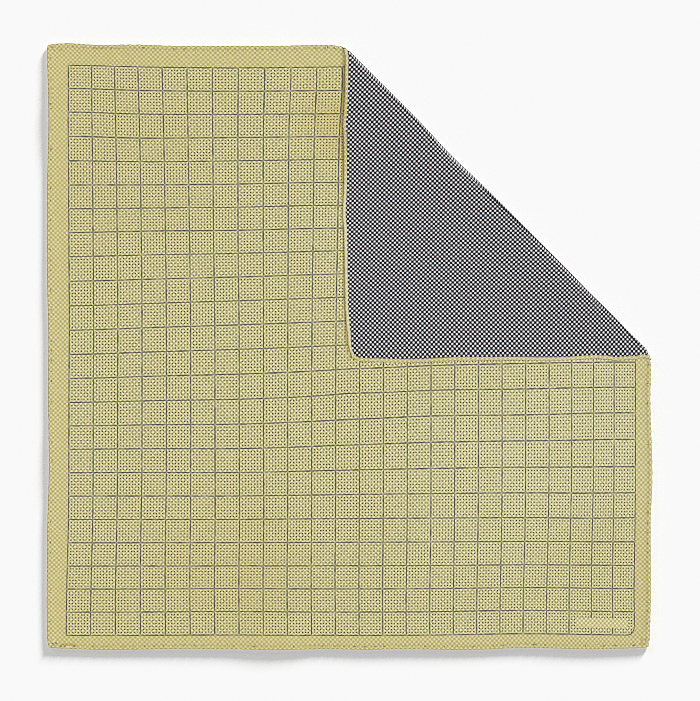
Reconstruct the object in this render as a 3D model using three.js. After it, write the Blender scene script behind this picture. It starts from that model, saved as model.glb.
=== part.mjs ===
import * as THREE from "three";

// Folded pocket square: one hemmed square of printed silk. It lies face up, with its far right
// corner turned over the front, so that the corner lands at the middle and shows the reverse.
// Millimetres, +Z up, +X to the right and +Y away. The origin is at the bottom centre of its box.

// Cloth
const SIDE = 331; // finished side, hem to hem
const THICK = 1.2; // a single layer
const REVERSE_COLOUR = 0x797a7d; // the small check, seen from a step away
const SILK_ROUGHNESS = 0.62;

// Fold line, measured on the surface from the middle of the cloth
const FOLD_ANGLE = THREE.MathUtils.degToRad(-45.1); // its direction, from +X
const FOLD_REACH = 114.45; // how far out its rounded edge lies
const FOLD_STEPS = 6; // facets round the turn
const FOLD_END = { length: 6, drawnIn: 1.2 }; // the stiff hems round off both ends of the fold

// Flap, which slants down from the turn and then lies on the front
const FLAP_RISE = 2.5; // its underside at the turn
const FLAP_REST = THICK + 0.3; // its underside where it lies
const FLAP_SLANT = { from: 4, to: 24 }; // distances from the fold between the two heights
const FLAP_TAKE_UP = { amount: 1.2, over: 30 }; // cloth taken up by the turn
const FLAP_SLIP = { amount: 2.2, fade: 70 }; // creep along the fold, none at its near end

// Hem rolled to the reverse: heights of its two faces over the underside of its layer
const HEM = [
  { inward: 0, low: 0.6, high: 1.5 },
  { inward: 0.5, low: 0.1, high: 2.0 },
  { inward: 1.1, low: 0, high: 2.2 },
  { inward: 1.7, low: 0, high: 1.9 },
  { inward: 2.3, low: 0, high: THICK },
];

// Mesh lines further in from each edge, and the widest strip between two lines
const NEAR_EDGE = [5.5, 10];
const WIDEST_STRIP = 20;

// How far each hand-rolled edge strays outwards from a straight line, by distance along it
const EDGES = {
  left: [
    { at: 0, out: -0.1 },
    { at: 26, out: 0.2 },
    { at: 62, out: -0.1 },
    { at: 100, out: -1.0 },
    { at: 140, out: -0.6 },
    { at: 172, out: -0.7 },
    { at: 205, out: 0 },
    { at: 250, out: 0 },
    { at: 290, out: -0.8 },
    { at: SIDE, out: 0 },
  ],
  near: [
    { at: 0, out: -0.3 },
    { at: 34, out: 0.6 },
    { at: 72, out: 0 },
    { at: 133, out: 0.5 },
    { at: 150, out: 0.1 },
    { at: 176, out: 0.5 },
    { at: 192, out: 0.1 },
    { at: 231, out: 0.6 },
    { at: 264, out: -0.6 },
    { at: 297, out: 0.2 },
    { at: SIDE, out: -0.4 },
  ],
  right: [
    { at: 0, out: -0.9 },
    { at: 31, out: -0.2 },
    { at: 70, out: -0.4 },
    { at: 95, out: 0.6 },
    { at: 140, out: -0.5 },
    { at: 157, out: -0.1 },
    { at: 168, out: -0.9 },
    { at: 192, out: 0.8 },
    { at: 215, out: 1.3 },
    { at: 242, out: 0.4 },
    { at: 264, out: 0.4 },
    { at: 296, out: 2.2 },
    { at: SIDE, out: 1.3 },
  ],
  far: [
    { at: 0, out: 0.2 },
    { at: 12, out: 0.7 },
    { at: 28, out: -0.2 },
    { at: 46, out: 0 },
    { at: 72, out: -0.7 },
    { at: 118, out: -0.8 },
    { at: 150, out: -0.3 },
    { at: 159, out: -0.5 },
    { at: 170, out: -3.0 },
    { at: 190, out: -1.0 },
    { at: 213, out: -0.2 },
    { at: 250, out: 0.1 },
    { at: 282, out: -1.2 },
    { at: 302, out: -2.1 },
    { at: SIDE, out: -3.5 },
  ],
};

// Corners are drawn in a little by their hems, most of all the one on the flap
const CORNERS = [
  { right: false, far: false, tuck: 0.5, reach: 4 },
  { right: true, far: false, tuck: 0.5, reach: 4 },
  { right: false, far: true, tuck: 0.2, reach: 4 },
  { right: true, far: true, tuck: 3.2, reach: 7 },
];

// Places where the cloth lifts off the surface in a low swell
const SWELLS = [
  { x: -43, y: 160, high: 0.7, reach: 26 },
  { x: -158, y: 126, high: 0.8, reach: 30 },
  { x: -40, y: -150, high: 0.9, reach: 34 },
  { x: 150, y: -96, high: 0.7, reach: 30 },
  { x: -161, y: -60, high: 0.5, reach: 26 },
];

const alongFold = new THREE.Vector2(Math.cos(FOLD_ANGLE), Math.sin(FOLD_ANGLE));
const acrossFold = new THREE.Vector2(-Math.sin(FOLD_ANGLE), Math.cos(FOLD_ANGLE));

// Value of a column at a place in a table, eased from row to row
function readTable(rows, place, key, column) {
  const next = rows.findIndex((row) => row[key] >= place);
  if (next === 0) return rows[0][column];
  if (next < 0) return rows[rows.length - 1][column];
  const before = rows[next - 1];
  const share = THREE.MathUtils.smoothstep(place, before[key], rows[next][key]);
  return THREE.MathUtils.lerp(before[column], rows[next][column], share);
}

// Place of a cloth point on the surface while the cloth is still open
function openPlace(u, v) {
  const half = SIDE / 2;
  const stray = (edge, at) => readTable(EDGES[edge], at, "at", "out");
  const place = new THREE.Vector2(
    THREE.MathUtils.lerp(-half - stray("left", v), half + stray("right", v), u / SIDE),
    THREE.MathUtils.lerp(-half - stray("near", u), half + stray("far", u), v / SIDE),
  );
  for (const corner of CORNERS) {
    const du = corner.right ? SIDE - u : u;
    const dv = corner.far ? SIDE - v : v;
    const pull = corner.tuck * Math.exp(-(du * du + dv * dv) / corner.reach ** 2);
    place.x += corner.right ? -pull : pull;
    place.y += corner.far ? -pull : pull;
  }
  return place;
}

// Heights of the hem's two faces, or of the plain cloth's, over the underside of the layer
function layerHeights(u, v) {
  const inward = Math.min(u, SIDE - u, v, SIDE - v);
  const low = readTable(HEM, inward, "inward", "low");
  const high = readTable(HEM, inward, "inward", "high");
  return { low, high };
}

function swell(x, y) {
  let height = 0;
  for (const lift of SWELLS) {
    const spread = 1 - ((x - lift.x) ** 2 + (y - lift.y) ** 2) / lift.reach ** 2;
    if (spread > 0) height += lift.high * spread ** 2;
  }
  return height;
}

// Section of the turn at a place along the fold: its centre line and its two radii
const foldEnds = [-SIDE, SIDE].map((sign) => {
  const half = SIDE / 2;
  const meet = sign < 0 ? acrossFold.y : acrossFold.x;
  const other = sign < 0 ? acrossFold.x : acrossFold.y;
  const free = (FOLD_REACH - half * meet) / other;
  const corner = sign < 0 ? new THREE.Vector2(free, half) : new THREE.Vector2(half, free);
  return corner.dot(alongFold);
});

function turnSection(along, heights) {
  const inner = (FLAP_RISE + heights.low - heights.high) / 2;
  const outer = inner + heights.high - heights.low;
  const fromEnd = Math.min(along - foldEnds[0], foldEnds[1] - along);
  const drawn = FOLD_END.drawnIn * (1 - THREE.MathUtils.smoothstep(fromEnd, 0, FOLD_END.length));
  return { inner, outer, centre: FOLD_REACH - drawn - outer, height: heights.high + inner };
}

// Place on the surface from coordinates along and across the fold
function surfacePlace(along, across) {
  return alongFold.clone().multiplyScalar(along).addScaledVector(acrossFold, across);
}

function flapSlip(along) {
  const left = THREE.MathUtils.smoothstep(foldEnds[1] - along, 0, FLAP_SLIP.fade);
  return FLAP_SLIP.amount * left;
}

// Front and back points of the cloth on the open part, on the turn and on the flap
function openPoints(u, v) {
  const place = openPlace(u, v);
  const { low, high } = layerHeights(u, v);
  const lift = swell(place.x, place.y);
  return {
    front: new THREE.Vector3(place.x, place.y, lift + high),
    back: new THREE.Vector3(place.x, place.y, lift + low),
  };
}

function turnPoints(u, v, step) {
  const along = openPlace(u, v).dot(alongFold);
  const section = turnSection(along, layerHeights(u, v));
  const share = step / FOLD_STEPS;
  const angle = Math.PI * (share - 0.5);
  const slipped = along + flapSlip(along) * share;
  const point = (radius) => {
    const place = surfacePlace(slipped, section.centre + radius * Math.cos(angle));
    return new THREE.Vector3(place.x, place.y, section.height + radius * Math.sin(angle));
  };
  return { front: point(section.inner), back: point(section.outer) };
}

function flapPoints(u, v) {
  const open = openPlace(u, v);
  const heights = layerHeights(u, v);
  const along = open.dot(alongFold);
  const section = turnSection(along, heights);
  const past = open.dot(acrossFold) - section.centre;
  const taken = FLAP_TAKE_UP.amount * THREE.MathUtils.smoothstep(past, 0, FLAP_TAKE_UP.over);
  const place = surfacePlace(along + flapSlip(along), section.centre - past + taken);
  const settled = THREE.MathUtils.smoothstep(past, FLAP_SLANT.from, FLAP_SLANT.to);
  const underside = THREE.MathUtils.lerp(FLAP_RISE, FLAP_REST, settled) + swell(place.x, place.y);
  return {
    front: new THREE.Vector3(place.x, place.y, underside + heights.low),
    back: new THREE.Vector3(place.x, place.y, underside + heights.high),
  };
}

// Mesh lines across the cloth. Those past the fold's start mirror about the middle of the rest,
// so that the fold line runs through the corners of its cells.
const insets = [...HEM.map((row) => row.inward), ...NEAR_EDGE];
const foldCentre = FOLD_REACH - (FLAP_RISE + THICK) / 2;
const foldStart = foldCentre * Math.SQRT2;

function linesBetween(from, to) {
  const inner = insets.map((inset) => from + inset);
  const outer = insets.map((inset) => to - inset).reverse();
  const first = inner[inner.length - 1];
  const strips = Math.ceil((outer[0] - first) / WIDEST_STRIP);
  const middle = [];
  for (let strip = 1; strip < strips; strip += 1) {
    middle.push(THREE.MathUtils.lerp(first, outer[0], strip / strips));
  }
  return [...inner, ...middle, ...outer];
}

const beforeFold = linesBetween(0, foldStart);
const pastFold = linesBetween(foldStart, SIDE);
const lines = [...beforeFold, ...pastFold.slice(1)];
const last = lines.length - 1;
const foldSum = last + beforeFold.length - 1;

// The cloth as pairs of front and back points, and as faces that name them in the order seen
// from the front
const pairs = [];
const pairNumbers = new Map();

function pairAt(i, j, step) {
  const name = `${i} ${j} ${step}`;
  if (!pairNumbers.has(name)) {
    pairNumbers.set(name, pairs.length);
    const u = lines[i];
    const v = lines[j];
    if (i + j === foldSum) pairs.push(turnPoints(u, v, step));
    else if (i + j < foldSum) pairs.push(openPoints(u, v));
    else pairs.push(flapPoints(u, v));
  }
  return pairNumbers.get(name);
}

const faces = [];

function addFace(...corners) {
  for (let k = 2; k < corners.length; k += 1) {
    faces.push([corners[0], corners[k - 1], corners[k]]);
  }
}

function addCell(i, j) {
  const side = i + j + 1;
  const step = side < foldSum ? 0 : FOLD_STEPS;
  const at = (di, dj, onFold) => pairAt(i + di, j + dj, i + di + j + dj === foldSum ? onFold : 0);
  if (side !== foldSum) {
    addFace(at(0, 0, step), at(1, 0, step), at(1, 1, step), at(0, 1, step));
    return;
  }
  addFace(at(0, 0, 0), at(1, 0, 0), at(0, 1, 0));
  addFace(at(1, 0, FOLD_STEPS), at(1, 1, FOLD_STEPS), at(0, 1, FOLD_STEPS));
  for (let turn = 0; turn < FOLD_STEPS; turn += 1) {
    addFace(at(1, 0, turn), at(1, 0, turn + 1), at(0, 1, turn + 1), at(0, 1, turn));
  }
}

for (let i = 0; i < last; i += 1) {
  for (let j = 0; j < last; j += 1) addCell(i, j);
}

// Closed solid: front faces, back faces turned the other way, and a wall round the edge
function closedSheet() {
  const positions = [];
  for (const pair of pairs) positions.push(...pair.front.toArray(), ...pair.back.toArray());
  const front = (number) => 2 * number;
  const back = (number) => 2 * number + 1;
  const indices = [];
  const edges = new Set();
  for (const [a, b, c] of faces) {
    indices.push(front(a), front(b), front(c), back(a), back(c), back(b));
    for (const edge of [[a, b], [b, c], [c, a]]) edges.add(edge.join(" "));
  }
  for (const edge of edges) {
    const [a, b] = edge.split(" ").map(Number);
    if (edges.has(`${b} ${a}`)) continue;
    indices.push(front(a), back(a), back(b), front(a), back(b), front(b));
  }
  const geometry = new THREE.BufferGeometry();
  geometry.setAttribute("position", new THREE.Float32BufferAttribute(positions, 3));
  geometry.setIndex(indices);
  geometry.computeBoundingBox();
  const box = geometry.boundingBox;
  geometry.translate(-(box.min.x + box.max.x) / 2, -(box.min.y + box.max.y) / 2, -box.min.z);
  geometry.computeVertexNormals();
  return geometry;
}

const silk = new THREE.MeshStandardMaterial({
  color: REVERSE_COLOUR,
  roughness: SILK_ROUGHNESS,
  metalness: 0,
});
const pocketSquare = new THREE.Mesh(closedSheet(), silk);
pocketSquare.name = "pocket_square";

const part = new THREE.Group();
part.add(pocketSquare);

export default part;
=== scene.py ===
from functools import cache
import math
import random

import bpy
from mathutils import Matrix, Vector, noise


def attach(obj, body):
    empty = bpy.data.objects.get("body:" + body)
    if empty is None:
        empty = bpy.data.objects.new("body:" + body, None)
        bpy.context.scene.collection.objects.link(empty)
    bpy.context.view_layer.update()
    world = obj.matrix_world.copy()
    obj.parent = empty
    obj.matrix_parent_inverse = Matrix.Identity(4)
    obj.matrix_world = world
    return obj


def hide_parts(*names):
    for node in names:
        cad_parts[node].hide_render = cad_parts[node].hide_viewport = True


# Folded pocket square: a square of printed silk twill with a hand-rolled hem. It lies face up,
# with its far right corner turned over the front to show the checked reverse.
# Lengths are in millimetres, +Z up, +X to the right and +Y away, and become metres in the meshes.

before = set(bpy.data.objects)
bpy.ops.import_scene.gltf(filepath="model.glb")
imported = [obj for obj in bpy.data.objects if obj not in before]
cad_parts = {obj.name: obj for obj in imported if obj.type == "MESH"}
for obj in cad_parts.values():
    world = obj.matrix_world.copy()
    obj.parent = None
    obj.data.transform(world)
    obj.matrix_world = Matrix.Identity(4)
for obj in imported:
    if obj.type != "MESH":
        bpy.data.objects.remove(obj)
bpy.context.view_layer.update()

MM = 0.001
BODY = "root"
CAD_CLOTH = "pocket_square"

# Cloth
SIDE = 331.0
HALF = SIDE / 2
CLOTH = 0.3  # thickness of the silk
CLEARANCE = {"silk": 0.03, "roll": 0.02}  # least height of each over the floor

# How far each hand-rolled edge strays outwards from a straight line: {distance along it: stray}
EDGES = {
    "left": {
        0: -0.1, 26: 0.2, 62: -0.1, 100: -1.0, 140: -0.6, 172: -0.7, 205: 0.0, 250: 0.0,
        290: -0.8, SIDE: 0.0,
    },
    "near": {
        0: -0.3, 34: 0.6, 72: 0.0, 133: 0.5, 150: 0.1, 176: 0.5, 192: 0.1, 231: 0.6,
        264: -0.6, 297: 0.2, SIDE: -0.4,
    },
    "right": {
        0: -0.9, 31: -0.2, 70: -0.4, 95: 0.6, 140: -0.5, 157: -0.1, 165: 0.2, 171: 1.3,
        181: 1.55, 187: 0.6, 192: 0.1, 215: 0.7, 242: 0.0, 264: 0.0, 296: 1.25, SIDE: 0.8,
    },
    "far": {
        0: 0.2, 12: 0.7, 28: -0.2, 46: 0.0, 72: -0.7, 118: -0.8, 150: -0.3, 158: -0.4,
        165.5: -1.3, 171: -1.25, 182: -1.4, 192: -1.2, 201: -0.75, 210: -1.15, 224: -1.35,
        234: -1.35, 250: -0.75, 260: -1.5, 276: -1.85, 300: -2.3, 308: -2.85, 317: -3.75,
        SIDE: -3.95,
    },
}

# Corners drawn in by their hems: right, far, how much, over what distance across and up
CORNERS = [
    (False, False, 0.5, 4.0, 4.0),
    (True, False, 0.5, 4.0, 4.0),
    (False, True, 0.2, 4.0, 4.0),
    (True, True, 2.0, 6.5, 4.5),
]

# Places where the cloth lifts off the surface in a low swell: x, y, height, reach
SWELLS = [
    (-43, 160, 0.7, 26),
    (-158, 126, 0.8, 30),
    (-40, -150, 0.9, 34),
    (150, -96, 0.7, 30),
    (-161, -60, 0.5, 26),
]

# Soft creases: from x, y, to x, y, height (troughs are negative), half width
CREASES = [
    (-154.0, 149.0, -163.0, 139.0, -0.35, 1.8),
    (156.0, -161.0, 163.0, -155.0, 0.4, 1.6),
    (-163.0, 120.0, -153.0, 126.0, -0.2, 2.2),
    (-126.0, 163.0, -122.0, 153.0, -0.2, 2.4),
    (-45.0, 163.5, -36.0, 155.0, -0.25, 2.6),
    (-20.0, -163.0, -10.0, -152.0, -0.2, 2.4),
]

# Long waves all over the cloth: their height, then length, sway and length of the sway each way
WAVE = 0.1
WAVES = {"across": (17, 0.6, 29), "up": (21, 0.8, 33)}

# Height of the front over the surface, where the hem lies under it: {distance in: height}
FRONT_RISE = {
    0: 1.3, 0.4: 1.55, 1.1: 1.65, 1.7: 1.55, 2.6: 1.15, 4: 0.85, 6: 0.68, 8.5: 0.52, 11: 0.37,
}
FRONT_FLAT = FRONT_RISE[11]
ROLL_TOP = FRONT_RISE[1.1]  # height of the front over the middle of the roll
LAYER_DEPTH = {0: 1.0, 2.2: 1.0, 3.6: CLOTH}  # cloth and hem together, at the turn
BETWEEN_LAYERS = 0.12

# Fold, measured from the middle of the cloth
FOLD_ANGLE = math.radians(-45.1)
FOLD_REACH = 114.27
FOLD_STEPS = 14
FOLD_ENDS = {"length": 5.0, "far": 0.5, "right": 1.2}  # how far each end is drawn in
FOLD_PRESS = 0.3  # how much flatter the hem is pressed where it goes round the turn
FOLD_DIPS = [(84.0, 0.85, 17.0), (190.0, 0.25, 9.0), (222.0, 0.2, 8.0)]  # along it, depth, reach
FOLD_PULL = 2.8  # how far before the turn the base is drawn in to meet it
FLAP_RISE = 2.5
TURN_GAP = 0.3  # least height of the gap inside the turn
FLAP_SLANT = (4.0, 24.0)
FLAP_TAKE_UP = {"amount": -1.0, "over": 30.0}
FLAP_SLIP = {"amount": 2.2, "fade": 70.0}

# The turn between the hems: inner radius, cloth that goes round it, and its middle line
TURN_INNER = (FLAP_RISE - FRONT_FLAT - 2 * WAVE) / 2
TURN_LENGTH = math.pi * (TURN_INNER + CLOTH / 2)
FOLD_MIDDLE = FOLD_REACH - TURN_INNER - CLOTH

# Rolled hem: its half width, and height of its middle and half thickness on each part
ROLL_HALF_WIDTH = 1.15
ROLL_MIDDLE_IN = 1.32  # how far its middle line lies in from the outline
ROLL_STEP = 0.6
ROLL_SIDES = 14
ROLL_CORNER = 0.85  # how square its corners are, from 0.7, round, to 1
ROLL_UNDER = {"middle": 0.8, "half": 0.76, "width": 1.0, "gold": 0.0}
ROLL_ON_FLAP = {
    "far": {"middle": 0.66, "half": 0.62, "width": 0.78, "gold": -1.0},
    "right": {"middle": 0.5, "half": 0.46, "width": 0.85, "gold": -0.3},
}
FLAP_CORNER_LUMP = {"growth": 0.9, "reach": 3.5}  # the roll is wider at the flap's corner
ROLL_GOLD_DEPTH = (0.3, 0.9)  # depths on the roll between which it turns paler, on the flap and the turn
ROLL_UNEVEN = {"width": 0.1, "fullness": 0.08, "gather": 0.05}
ROLL_LUMPS = [(2.2, 1.0, 0), (7, 0.6, 5)]  # length, strength and noise row of its unevenness

# Stitches of the hem, the gathers that they draw, and the puckers beside it
STITCH_PITCH = 5.5
STITCH_IN = 2.3  # how far in the stitches catch the cloth
STITCH_REACH = {"out": 0.45, "in": 0.55, "along": 0.5}  # of its two ends, from there
STITCH_STRAY = 0.3
STITCH_SEED = 7
STITCHLESS = 5.0  # no stitch shows this near the turn
THREAD_RADIUS = 0.11
THREAD_LENGTH = 1.3
THREAD_FULL = 0.35  # from its middle to where it begins to thin
THREAD_TIP = {"from": 0.5, "width": 0.45, "dip": 0.16}
THREAD_RAISED = 0.05
GATHER_DRIFT = {"amount": 1.3, "length": 9}
PUCKER = {"height": 0.1, "inward": 3, "spread": 10, "swing": 0.4, "length": 13, "slant": 0.02}

# The silk ends a little short of the outline, on the shoulder of the roll that it wraps.
# Mesh lines in from there, and the widest strip between two lines.
CLOTH_EDGE = 0.42
EDGE_LINES = (0, 0.35, 0.85, 1.45, 2.05, 2.75, 3.75, 5.1, 6.7, 8.7)
WIDEST_STRIP = 2.1

# The print strays from the cloth's outline. Stray across by x, and up by y: {place: stray}
PRINT_ACROSS = {
    -154: -0.1, -127: 0.7, -100: 1.6, -73: 2.3, -47: 3.0, -21: 3.5, 5: 3.8, 32: 4.1, 84: 4.3,
    109: 4.2, 122: 3.6, 134: 2.6, 145: 0.9, 157: -0.4,
}
PRINT_UP = {
    -157: -1.0, -145: -1.2, -120: -1.9, -93: -2.4, -65: -2.8, -30: -2.9, -5: -2.6, 20: -1.9,
    49: -0.9, 101: -0.4, 154: 0.1,
}

# Soft pulls of the print: x, y, stray across, stray up, reach across, reach up
PRINT_PULLS = [
    (150, 6, 0, 9.2, 200, 70),
    (5, 155, 2.9, 0, 42, 38),
    (5, 90, 1.5, 0, 42, 60),
    (-108, 165, -2.2, 0, 45, 45),
    (-85, 100, -1.0, 0, 45, 50),
    (-150, -160, -1.4, 0, 45, 45),
    (115, -155, -1.6, 0, 60, 45),
    (-150, 128, 0, 0.9, 25, 30),
    (-60, 155, 0, -0.9, 60, 28),
    (-20, 85, 0, 0.6, 30, 35),
    (-60, -50, 0, -0.8, 40, 35),
    (45, -33, 0, 0.9, 35, 28),
    (150, -42, 0, 1.0, 40, 24),
    (98, -150, 0, 0.9, 40, 35),
    (-150, 10, 0, -0.8, 35, 45),
    (-70, -125, -0.4, 0, 110, 25),
    (-150, 148, 0.45, 0.2, 20, 20),
    (-35, 148, 0.45, 0, 22, 14),
    (-145, 15, 0.25, 0, 25, 35),
    (-65, 50, -0.4, 0, 18, 30),
    (130, -105, -0.5, 0, 22, 28),
    (-60, -105, 0.3, 0, 25, 35),
    (-110, -100, -0.35, 0, 18, 25),
    (35, -145, -0.35, 0, 25, 20),
    (148, -150, 0.45, 0, 14, 12),
    (0, -24, 0, 0.6, 14, 14),
    (88, -58, 0, 0.35, 25, 20),
    (-65, -145, 0, 0.35, 35, 18),
    (-110, 63, 0, 0.4, 35, 14),
    (-140, -35, 0, -0.3, 30, 20),
    (130, -90, 0, -0.35, 20, 14),
    (-110, 108, 0, -0.35, 30, 14),
    (-5, 146, 0.4, 0, 8, 16),
]

# Stray of the print on the flap, by place in the open cloth. At both ends of the fold it
# meets the print before the turn, or is a few whole repeats of the check away from it.
TURNED_ACROSS = {
    "by_x": {
        0: 4.4, 42: 5.3, 60: 5.6, 75: 5.5, 90: 5.2, 107: 4.7, 124: 4.1, 132: 3.9, 140: 3.9,
        151: 4.1, 165: 5.1,
    },
    "by_y": {0: 0.7, 60: 0, 77: -0.1, 92: 0, 107: 0.25, 120: 0.6, 135: 1.2, 150: 2.0, 165: 2.95},
}
TURNED_UP = {
    "by_x": {
        0: -1.95, 25: -1.25, 42: -0.65, 58: -0.45, 75: -0.6, 90: -0.45, 107: -0.05, 124: 0.45,
        140: 0.75, 165: 0.35,
    },
    "by_y": {
        0: 0, 28: -0.5, 45: -0.3, 61: 0.25, 77: 0.8, 92: 1.15, 107: 1.4, 120: 1.55, 165: 1.7,
    },
}

# Patches where the silk looks more golden, or paler below zero: x, y, amount, reach
GOLD_PATCHES = [
    (-120, 110, 0.35, 90),
    (-55, -125, 0.5, 60),
    (-5, 120, 0.9, 26),
    (60, -80, -0.5, 80),
    (140, -40, -0.5, 60),
    (-20, 70, -0.4, 50),
    (-150, -150, 0.3, 40),
]

# Painted golden shade on the silk beside the flap's left hem, where the hem shades it: {y: x}, with
# its half width, its strength, and the heights between which it fades out
SHADE_BESIDE_FLAP = {
    -7.5: 1.2, -5: -0.2, -1: -1.5, 3: -1.9, 14: -2.2, 25: -2.8, 44: -3.1, 64: -3.3, 101: -3.4,
    118: -3.9, 135: -3.4, 146: -3.0, 155: -2.0, 162: -1.2,
}
SHADE_LINE_BESIDE_FLAP = {"half": 0.75, "gold": 2.3, "fade": (0.9, 1.6)}

# Colours as they are seen in even light, in 0 to 255. The deep gold also paints the shade beside the
# flap's hem, and the speck colour partly paints the shade at the stitches.
CREAM = (225, 216, 160)
OLIVE = (164, 156, 98)
FIELD_CREAM = (238, 232, 182)
FIELD_OLIVE = (162, 156, 104)
GOLDEN = (196, 176, 84)
DEEP_GOLD = (150, 122, 40)
PALE = (232, 230, 206)
PINKISH = (234, 198, 182)
GREENISH = (200, 205, 94)
SPECK_AND_SHADE = (106, 98, 52)
LINE_INK = (52, 57, 60)
DOT_INK = (56, 52, 22)
CHECK_WHITE = (218, 217, 221)
CHECK_BLACK = (6, 4, 9)
CHECK_PINKISH = (254, 206, 172)
CHECK_BLUISH = (180, 222, 250)
THREAD = (200, 188, 128)
FLOOR = (243, 243, 243)

# Marks beside the hem, where its thread puckers the silk: partly soil, partly painted shade of the
# puckers and the thread: x, y, half width, half height, share, colour
SOIL_AND_SHADE_MARKS = [
    (-153.8, -162.9, 4.2, 0.7, 0.4, (168, 136, 48)),
    (-157.7, -163.8, 0.6, 0.4, 0.8, (78, 58, 26)),
    (-155.5, -163.8, 0.5, 0.4, 0.7, (84, 64, 30)),
    (-150.2, -163.8, 0.6, 0.4, 0.8, (78, 58, 26)),
    (-153.8, -164.2, 0.8, 0.4, 0.6, (240, 228, 200)),
    (-162.3, -162.4, 0.6, 0.4, 0.7, (92, 92, 84)),
    (-160.4, -162.2, 0.5, 0.4, 0.8, (70, 68, 60)),
    (-161.5, -161.0, 0.6, 0.5, 0.4, (226, 222, 212)),
    (-163.0, -164.3, 0.5, 0.4, 0.6, (104, 98, 62)),
    (-162.6, 163.7, 0.5, 0.5, 0.6, (120, 120, 112)),
    (-161.5, 162.1, 0.5, 0.5, 0.6, (128, 126, 112)),
    (-157.7, 162.4, 1.1, 0.7, 0.45, (172, 140, 50)),
    (-137.4, 163.2, 3.4, 0.5, 0.4, (172, 140, 50)),
    (-130.3, 163.2, 0.35, 0.8, 0.7, (84, 80, 60)),
    (-163.4, 132.8, 0.6, 0.5, 0.7, (92, 84, 48)),
    (-11.8, 163.8, 0.35, 0.6, 0.7, (76, 72, 60)),
    (160.0, -160.8, 0.8, 2.6, 0.5, (178, 146, 54)),
    (161.9, -160.3, 0.9, 0.5, 0.6, (150, 152, 154)),
]

# Print: a windowpane grid of cells, each with rows of pin dots, framed by its outer lines
CELL = 12.93
FIRST_LINE = (12.12, 12.2)  # in from the left and from the far edge
CELLS = 24
WANDER = (0.45, 0.022)  # noise scale, and how many cells the grid wanders
LINE_HALF = 0.32
DOT_SPACES = 8  # spaces between dots across a cell, so one dot fewer
DOT_RADIUS = 0.335
DOT_SIZES = (0.93, 1.07)  # least and most, in radii
DOT_EDGE = (0.95, 1.15)  # where its ink fades out, in radii
DOT_WEAKEST = 0.8  # ink of the palest dots
FRAME_CORNER = 0.34  # rounding of the frame's near right corner, in cells

# Lines by hand: noise scale, its range, and the half widths or strengths that it gives
LINE_WIDTH = (0.16, 0.3, 0.7, LINE_HALF * 0.85, LINE_HALF * 1.25)
LINE_STRENGTH = (0.3, 0.3, 0.65, 0.75, 1.0)
LINE_EDGE = (0.7, 1.35)  # where the ink fades out, in half widths
CROSSING_FADE = (0.25, 0.9, 0.6, 1.0)  # distances from a crossing, and the strengths there
INK_SHARE = {"dots": 0.95, "lines": 0.92}

# Bare strip in the last row of cells, in cells from the frame's far left corner
BARE_STRIP = {"left": 21.31, "right": 23.69, "top": 23.29, "bottom": 23.71}

# Small check of the reverse, and how it shows through faintly on the front
CHECK_REPEAT = 2.467
CHECK_UNEVEN = (0.8, 0.35)  # noise scale and amount
CHECK_FADE = (-0.2, 0.7)
SHOW_THROUGH = (-0.85, 1.15)

# Cloudy gold of the ground: noise, its share, then each tint from, to, most share, colour. The deep
# gold is mostly the painted shade beside the flap's hem.
CLOUDS = (0.03, 3.0)
CLOUD_SHARE = 0.5
GOLD_TINTS = [(0.2, 1.3, 0.45, GOLDEN), (1.1, 2.4, 0.7, DEEP_GOLD), (0.1, -1.5, 0.6, PALE)]
THREAD_TINTS = {"scale": 0.62, "spread": 0.3, "share": 0.5}  # of both faces of the silk
MARK_FADE = (0.3, 1.8)  # from the middle of a mark to past its rim

# Specks on the front where the hem's stitches catch it: partly stitch marks, partly painted shade of
# the small dimples they draw
SPECKS_AND_SHADE = {"inward": 1.9, "slimness": 4.5, "fade": (0.35, 0.75), "share": 0.75, "luck": (0.1, 0.7)}
SPECK_DRIFT = {"scale": 0.25, "amount": 4.0}

# Relief and gloss of the silk, and of the thread that sews it
ROUGHNESS = {"front": 0.6, "reverse": 0.65, "thread": 0.7, "floor": 0.9}
TWILL_RIB = 0.42
RIB_SHARE = 0.5
WEAVE_NOISE = (2.5, 2.0)
WEAVE_RELIEF = 0.03
SILK_GLOSS = {"Specular IOR Level": 0.25, "Sheen Weight": 0.12, "Sheen Roughness": 0.35}
THREAD_SHADE = (900.0, 2.0)
THREAD_FUZZ = {"scale": 6000.0, "relief": 0.02}

FLOOR_SIZE = 40.0  # metres
FLOOR_GLOW = 0.458  # the light that the cloth doesn't take away
FLOOR_GRAIN = {"scale": 40.0, "darker": 1}

# Light: name, azimuth from +X, elevation and width of the source in degrees, strength, and
# whether it falls on the cloth or on the floor
SUNS = [
    ("overhead_light", 0, 90, 20, 1.76, "cloth"),
    ("side_light", 8, 56, 32, 1.60, "cloth"),
    ("fill_light", 215, 50, 60, 0.28, "cloth"),
    ("low_light", 60, 13, 11, 6.4, "floor"),
    ("back_light", 135, 22, 20, 0.5, "floor"),
]
SKY = (0.9, 0.9, 0.92)
SKY_STRENGTH = 0.03

# Camera: straight down on the middle of the picture, which spans this height of the surface
PICTURE_MIDDLE = (0.22, -2.165)
PICTURE_HEIGHT = 383.66
LENS = 200.0
SENSOR = 36.0
FILTER_WIDTH = 1.0
SEEN_GAMMA = 2.2
CRISPNESS = 0.05


def lerp(start, end, share):
    return start + (end - start) * share


def ease(place, start, end):
    share = min(max((place - start) / (end - start), 0.0), 1.0)
    return share * share * (3 - 2 * share)


def between_rows(rows, place, curve):
    places = list(rows)
    if place <= places[0]:
        return rows[places[0]]
    for before, after in zip(places, places[1:]):
        if place <= after:
            return lerp(rows[before], rows[after], curve(place, before, after))
    return rows[places[-1]]


def eased_row(rows, place):
    return between_rows(rows, place, ease)


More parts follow.
